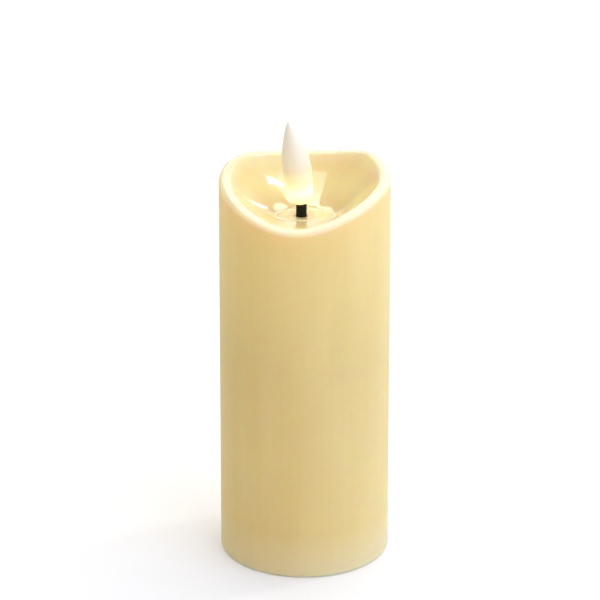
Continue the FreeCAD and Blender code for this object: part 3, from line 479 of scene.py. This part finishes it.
def crest_height(angle):
    """How high the wavy rim is in one direction."""
    waves = sum(height * math.cos(count * (angle - turn)) for count, height, turn in RIM_WAVES)
    corners = sum(
        height * math.exp(CORNER_SHARPNESS * (math.cos(angle - turn) - 1)) for height, turn in RIM_CORNERS
    )
    return RIM_HEIGHT + waves + corners


def pool_edge(angle):
    """How far the flat oval pool reaches in one direction."""
    return 1 / math.hypot(math.cos(angle) / POOL_LONG, math.sin(angle) / POOL_WIDE)


def wax_profile(angle):
    """The shell's closed section in one direction: radius, height, and shares of bowl, pool and the lip's
    painted light.
    """
    crest = crest_height(angle)
    pool = pool_edge(angle)
    lip_centre = BODY_RADIUS - LIP_ROUND
    wall_top = lip_centre - LIP_ROUND * math.sin(LIP_SLOPE)
    rise = crest - LIP_ROUND + LIP_ROUND * math.cos(LIP_SLOPE) - BOWL_FLOOR
    power = math.tan(LIP_SLOPE) * (wall_top - pool) / rise
    edge = pool - RIDGE_INSET

    # the wick's hole, the pool and the ridge round it
    section = [(WICK_HOLE, NECK_TOP, 0.0, 0.0, 0.0)]
    for out, up in WICK_HOLE_EDGE:
        section.append((WICK_HOLE + out * MM, BOWL_FLOOR + up * MM, 1.0, 1.0, 0.0))
    for radius in steps(WICK_HOLE + 0.3 * MM, edge, FLOOR_STEPS):
        section.append((radius, BOWL_FLOOR, 1.0, 1.0, 0.0))
    for out, up, wet in POOL_RIDGE:
        section.append((edge + out * MM, BOWL_FLOOR + up * MM, 1.0, wet, 1.0 - wet))

    # the bowl's wall, which meets the lip at the lip's own slope, and the round lip
    for share in steps(WALL_START, 1.0, WALL_STEPS):
        radius = pool + (wall_top - pool) * share
        height = BOWL_FLOOR + max(rise * share**power, WALL_FOOT)
        wet = 1.0 - smooth_step(share, *WALL_DRIES)
        # the last fifth of the wall fades into the lip's painted light
        section.append((radius, height, 1.0, wet, smooth_step(share, 0.80, 1.0) * 0.5))
    for turn in steps(-LIP_SLOPE, math.pi / 2, LIP_STEPS)[1:]:
        radius = lip_centre + LIP_ROUND * math.sin(turn)
        height = crest - LIP_ROUND + LIP_ROUND * math.cos(turn)
        bowl = 1.0 - smooth_step(turn, 0.0, 1.55)
        # painted rim light: how much pale colour each point of the round gets, strongest over the crest and
        # fading down the outer side
        pale = 0.5 + 0.5 * smooth_step(turn, -LIP_SLOPE, 0.0) - smooth_step(turn, 0.9, 1.7)
        section.append((radius, height, bowl, 0.0, pale))

    # the outside down to its rounded foot, and the bore up to the neck
    for height in steps(crest - LIP_ROUND, BASE_ROUND, OUTSIDE_STEPS)[1:]:
        below = (crest - LIP_ROUND - height) / (1.5 * MM)
        # the outside's first 1.5 mm under the lip takes a little of the lip's painted light
        section.append((BODY_RADIUS, height, 0.0, 0.0, 0.2 * max(0.0, 1.0 - below)))
    for turn in steps(0.0, math.pi / 2, ROUND_STEPS)[1:]:
        radius = BODY_RADIUS - BASE_ROUND + BASE_ROUND * math.cos(turn)
        section.append((radius, BASE_ROUND - BASE_ROUND * math.sin(turn), 0.0, 0.0, 0.0))
    section.append((BORE_RADIUS + BORE_EDGE, 0.0, 0.0, 0.0, 0.0))
    section.append((BORE_RADIUS, BORE_EDGE, 0.0, 0.0, 0.0))
    for height in steps(2 * MM, BORE_TOP, BORE_STEPS):
        section.append((BORE_RADIUS, height, 0.0, 0.0, 0.0))
    section.append((NECK_RADIUS, BORE_TOP, 0.0, 0.0, 0.0))
    section.append((NECK_RADIUS, NECK_TOP, 0.0, 0.0, 0.0))
    return section


def ripple(point, kind):
    """One kind of unevenness at a point, in millimetres."""
    depth, rates = kind
    return depth * noise.noise(Vector([along * rate for along, rate in zip(point, rates)]))


def wax_waver(radius, angle, height, bowl):
    """Small unevenness of cast and melted wax: outwards on the body, upwards in the bowl."""
    if radius < BORE_RADIUS + 1 * MM and bowl == 0.0:
        return 0.0, 0.0
    x, y = radius * math.cos(angle), radius * math.sin(angle)
    outwards = (ripple((x, y, height), CAST_SWELL) + ripple((x, y, height), DRAG_MARKS)) * MM
    melt = ripple((x, y, 3.7), MELT_RIPPLE)
    flow = ripple((math.cos(angle), math.sin(angle), radius), FLOW_RIPPLE)
    above_foot = smooth_step(height, 0.0, 4 * MM)
    off_pool = smooth_step(radius, POOL_LONG, POOL_LONG + 4 * MM)
    return outwards * (1 - bowl) * above_foot, (melt + flow) * off_pool * MM * bowl


def wax_shell(material):
    """The whole wax surface; the wick's hole is moved sideways to stay round the wick."""
    turns = [2 * math.pi * i / AROUND for i in range(AROUND)]
    sections = [wax_profile(angle) for angle in turns]
    rings = []
    shares = {"bowl": [], "pool": [], "lip": []}
    for level in range(len(sections[0])):
        ring = []
        for angle, section in zip(turns, sections):
            radius, height, bowl, pool, lip = section[level]
            out, up = wax_waver(radius, angle, height, bowl)
            near_wick = 1 - smooth_step(radius, WICK_HOLE + 0.5 * MM, POOL_WIDE - 0.6 * MM)
            shift = WICK_X * near_wick if height > NECK_TOP - 1 * MM and radius < POOL_WIDE else 0.0
            x = (radius + out) * math.cos(angle) + shift
            ring.append(Vector((x, (radius + out) * math.sin(angle), height + up)))
            for name, share in zip(shares, (bowl, pool, lip)):
                shares[name].append(share)
        rings.append(ring)
    piece = shell_from_rings("wax_shell_surface", rings, True, material)
    for name, values in shares.items():
        store(piece, name, values)
    return piece


# ---------------------------------------------------------------- flame and wick

FLAME_AROUND = 96
WICK_AROUND = 64


def curve_through(points, per_span):
    """Points on a smooth curve through the given ones; the end is mirrored so that the tip is round."""
    first = (2 * points[0][0] - points[1][0], 2 * points[0][1] - points[1][1])
    last = (points[-2][0], -points[-2][1])
    whole = [first, *points, last]
    line = []
    for a, b, c, d in zip(whole, whole[1:], whole[2:], whole[3:]):
        for i in range(per_span):
            t = i / per_span
            point = []
            for p, q, r, s in zip(a, b, c, d):
                bend = (2 * p - 5 * q + 4 * r - s) * t**2
                twist = (3 * q - p - 3 * r + s) * t**3
                point.append(0.5 * (2 * q + (r - p) * t + bend + twist))
            line.append(tuple(point))
    return line


def flame_bulb(material):
    """Teardrop with a bore in its foot, leaning from the wick."""
    outline = [(h * FLAME_LENGTH, r * FLAME_RADIUS) for h, r in curve_through(FLAME_OUTLINE, 10)]
    outline.append((FLAME_LENGTH - 0.004 * MM, 0.06 * MM))
    foot = 0.25 * MM
    section = [(FLAME_BORE_DEPTH, 0.05 * MM), (FLAME_BORE_DEPTH, FLAME_BORE), (0.0, FLAME_BORE)]
    section += [(0.0, outline[0][1] - foot), (foot * 0.3, outline[0][1] - foot * 0.3)]
    section += [(h, r) for h, r in outline[1:]]
    lean = Matrix.Rotation(-FLAME_LEAN, 3, "Y")
    rings, rises = [], []
    for height, radius in section:
        ring = []
        for i in range(FLAME_AROUND):
            angle = 2 * math.pi * i / FLAME_AROUND
            point = Vector((radius * math.cos(angle), radius * math.sin(angle), height))
            ring.append(FLAME_FOOT + lean @ point)
            rises.append(height / FLAME_LENGTH)
        rings.append(ring)
    piece = shell_from_rings("flame_bulb_surface", rings, False, material)
    store(piece, "rise", rises)
    return piece


def wick_tube(material):
    """Black sleeve with softened edges; its top follows the slant of the flame's foot."""
    soft = 0.12 * MM

    def top(x):
        return FLAME_FOOT.z - 0.03 * MM + math.tan(FLAME_LEAN) * (x - FLAME_FOOT.x)

    shape = [(WICK_BORE, 0.0), (WICK_RADIUS - soft, 0.0), (WICK_RADIUS, soft)]
    shape += [(WICK_RADIUS, share) for share in (0.25, 0.5, 0.75, 0.9)]
    shape += [(WICK_RADIUS, 1.0), (WICK_RADIUS - soft, 1.01), (WICK_BORE, 1.01), (WICK_BORE, 0.5)]
    rings = []
    for radius, level in shape:
        ring = []
        for i in range(WICK_AROUND):
            angle = 2 * math.pi * i / WICK_AROUND
            x = WICK_X + radius * math.cos(angle)
            high = top(x) - soft
            z = wick_low.z + level if level < 0.01 else wick_low.z + (high - wick_low.z) * min(level, 1.0)
            if level > 1.0:
                z = top(x)
            ring.append(Vector((x, radius * math.sin(angle), z)))
        rings.append(ring)
    return shell_from_rings("wick_sleeve_surface", rings, True, material)


# ---------------------------------------------------------------- pieces and finishes


def dress_frame():
    """Give every carried-over CAD node its finish."""
    core = moulded("core_plastic", (0.74, 0.70, 0.60))
    door = moulded("door_plastic", (0.76, 0.72, 0.62), 0.3 * MM, (0.42, 0.56), 0.09)
    nickel = metal("contact_nickel", (0.66, 0.63, 0.56))
    screw = metal("screw_steel", (0.58, 0.58, 0.60), (0.25, 0.42), (1, 1, 0.2), 0.7)
    cells = cell_material()
    finishes = {
        "led": lens_material(),
        "led_legs": nickel,
        "wick_holder": core,
        "core_tube": core,
        "core_cap": core,
        "cap_screws": screw,
        "battery_box": core,
        "left_cell": cells,
        "right_cell": cells,
        "positive_contact": nickel,
        "negative_spring": nickel,
        "bridge_contact": nickel,
        "circuit_board": board_material(),
        "board_screws": screw,
        "controller_chip": moulded("chip_epoxy", (0.02, 0.02, 0.022), 0.12 * MM, (0.45, 0.6)),
        "timing_crystal": metal("crystal_can", (0.66, 0.66, 0.68), (0.18, 0.3), (1, 0.1, 1)),
        "capacitor": moulded("capacitor_sleeve", (0.03, 0.04, 0.07), 0.4 * MM, (0.22, 0.34), 0.03),
        "chip_resistors": moulded("resistor_ceramic", (0.05, 0.05, 0.055), 0.15 * MM, (0.3, 0.5)),
        "wire_plug": moulded("plug_nylon", (0.78, 0.76, 0.69), 0.2 * MM, (0.4, 0.55)),
        "led_wires": moulded("red_insulation", (0.42, 0.02, 0.015), 0.5 * MM, (0.3, 0.42), 0.03),
        "switch_wires": moulded("white_insulation", (0.70, 0.69, 0.65), 0.5 * MM, (0.3, 0.42), 0.03),
        "base_plate": core,
        "base_screws": screw,
        "battery_door": door,
        "switch_body": metal("switch_case", (0.55, 0.55, 0.57), (0.25, 0.4), (0.1, 1, 1)),
        "switch_pins": nickel,
        "switch_knob": moulded("knob_black", (0.018, 0.018, 0.02), 0.2 * MM, (0.4, 0.55), 0.08),
    }
    for name, finish in finishes.items():
        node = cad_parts[name]
        if not node.material_slots:
            node.data.materials.append(finish)
        for slot in node.material_slots:
            slot.material = finish


def add_pieces():
    """The surfaces that stand in for the wax, flame and wick solids."""
    wax = wax_shell(wax_material())
    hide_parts("wax_shell")
    flame = flame_bulb(flame_material())
    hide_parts("flame_bulb")
    wick = wick_tube(moulded("wick_black", (0.006, 0.004, 0.003), 0.3 * MM, (0.7, 0.85), 0.12))
    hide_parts("wick_sleeve")
    for piece in (wax, flame, wick):
        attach(piece, "candle")


# ---------------------------------------------------------------- stage, lights and camera


def add_stage():
    """A wide, plain, pale floor."""
    material, tree, shader = new_material("pale_floor", Roughness=0.75, Specular_IOR_Level=0.15)
    shader.inputs["Emission Color"].default_value = (0.75, 0.78, 0.95, 1.0)
    shader.inputs["Emission Strength"].default_value = 0.14
    shades = (0.3, (0.87, 0.87, 0.87)), (0.7, (0.88, 0.88, 0.875))
    tree.links.new(ramp(tree, grain(tree, 2.0, 2.0), *shades), shader.inputs["Base Color"])
    half = 8.0
    corners = [(-half, -half, 0), (half, -half, 0), (half, half, 0), (-half, half, 0)]
    mesh = bpy.data.meshes.new("floor")
    mesh.from_pydata(corners, [], [(0, 1, 2, 3)])
    mesh.materials.append(material)
    floor = bpy.data.objects.new("floor", mesh)
    floor.location.z = -0.02 * MM
    bpy.context.scene.collection.objects.link(floor)


def softbox(name, position, target, width, height, power, colour, long_axis=None):
    """A rectangular area light at a place, turned to a target, its width along long_axis if given."""
    light = bpy.data.lights.new(name, "AREA")
    light.shape = "RECTANGLE"
    light.size, light.size_y = width, height
    light.energy = power
    light.color = colour
    lamp = bpy.data.objects.new(name, light)
    lamp.location = position
    back = (Vector(position) - Vector(target)).normalized()
    across = Vector(long_axis) if long_axis else Vector((0, 0, 1)).cross(back)
    across = (across - back * across.dot(back)).normalized()
    lamp.rotation_euler = Matrix((across, back.cross(across), back)).transposed().to_euler()
    bpy.context.scene.collection.objects.link(lamp)


def add_lights():
    """Wide soft lights, and two narrow ones that the bowl's wet walls mirror."""
    middle = (0, 0, 0.07)
    softbox("overhead", (0.10, 0.20, 1.4), (0, 0, 0), 1.8, 1.6, 19.0, (1.0, 0.99, 0.97))
    softbox("side", (0.72, -0.80, 0.5), middle, 1.2, 0.9, 4.8, (0.87, 0.98, 1.45))
    softbox("backdrop", (0.0, 1.9, 0.95), middle, 2.6, 0.9, 7.0, (0.97, 1.0, 1.05))
    softbox("cool side", (1.0, -0.30, 0.35), middle, 0.8, 0.7, 1.05, (0.12, 0.60, 1.5))
    softbox("fill", (-0.90, -0.45, 0.75), middle, 0.9, 0.9, 0.5, (1.0, 0.86, 0.52))
    back_wall = Vector((-8.9, 13.5, 121.2)) * MM
    left_wall = Vector((-12.7, 1.0, 118.6)) * MM
    to_window = Vector((0.86, 0.37, 0.90))
    to_back = Vector((0.80, 0.95, 0.50))
    window_slant = (0.19, 0.20, -0.25)
    back_slant = (0.08, -0.19, 0.27)
    white = (1.0, 1.0, 0.98)
    softbox("window", back_wall + to_window, back_wall, 0.36, 0.10, 1.6, white, window_slant)
    softbox("back", left_wall + to_back, left_wall, 0.46, 0.05, 0.65, white, back_slant)
    world = bpy.data.worlds.new("studio")
    world.use_nodes = True
    sky = world.node_tree.nodes["Background"]
    sky.inputs["Color"].default_value = (1.0, 0.95, 0.82, 1.0)
    sky.inputs["Strength"].default_value = 0.26
    bpy.context.scene.world = world
    bpy.context.scene.view_settings.view_transform = "Standard"


def add_camera():
    """A long lens, a little left of the candle and well above it."""
    camera = bpy.data.cameras.new("camera")
    camera.sensor_width = 36.0
    camera.lens = 270.0
    camera.clip_end = 50.0
    holder = bpy.data.objects.new("camera", camera)
    holder.location = (-0.0015, -1.3318, 0.6657)
    looking_down = math.radians(23.5)
    holder.rotation_euler = (math.pi / 2 - looking_down, 0.0, 0.0)
    bpy.context.scene.collection.objects.link(holder)
    bpy.context.scene.camera = holder


add_camera()
add_stage()
add_lights()
dress_frame()
add_pieces()
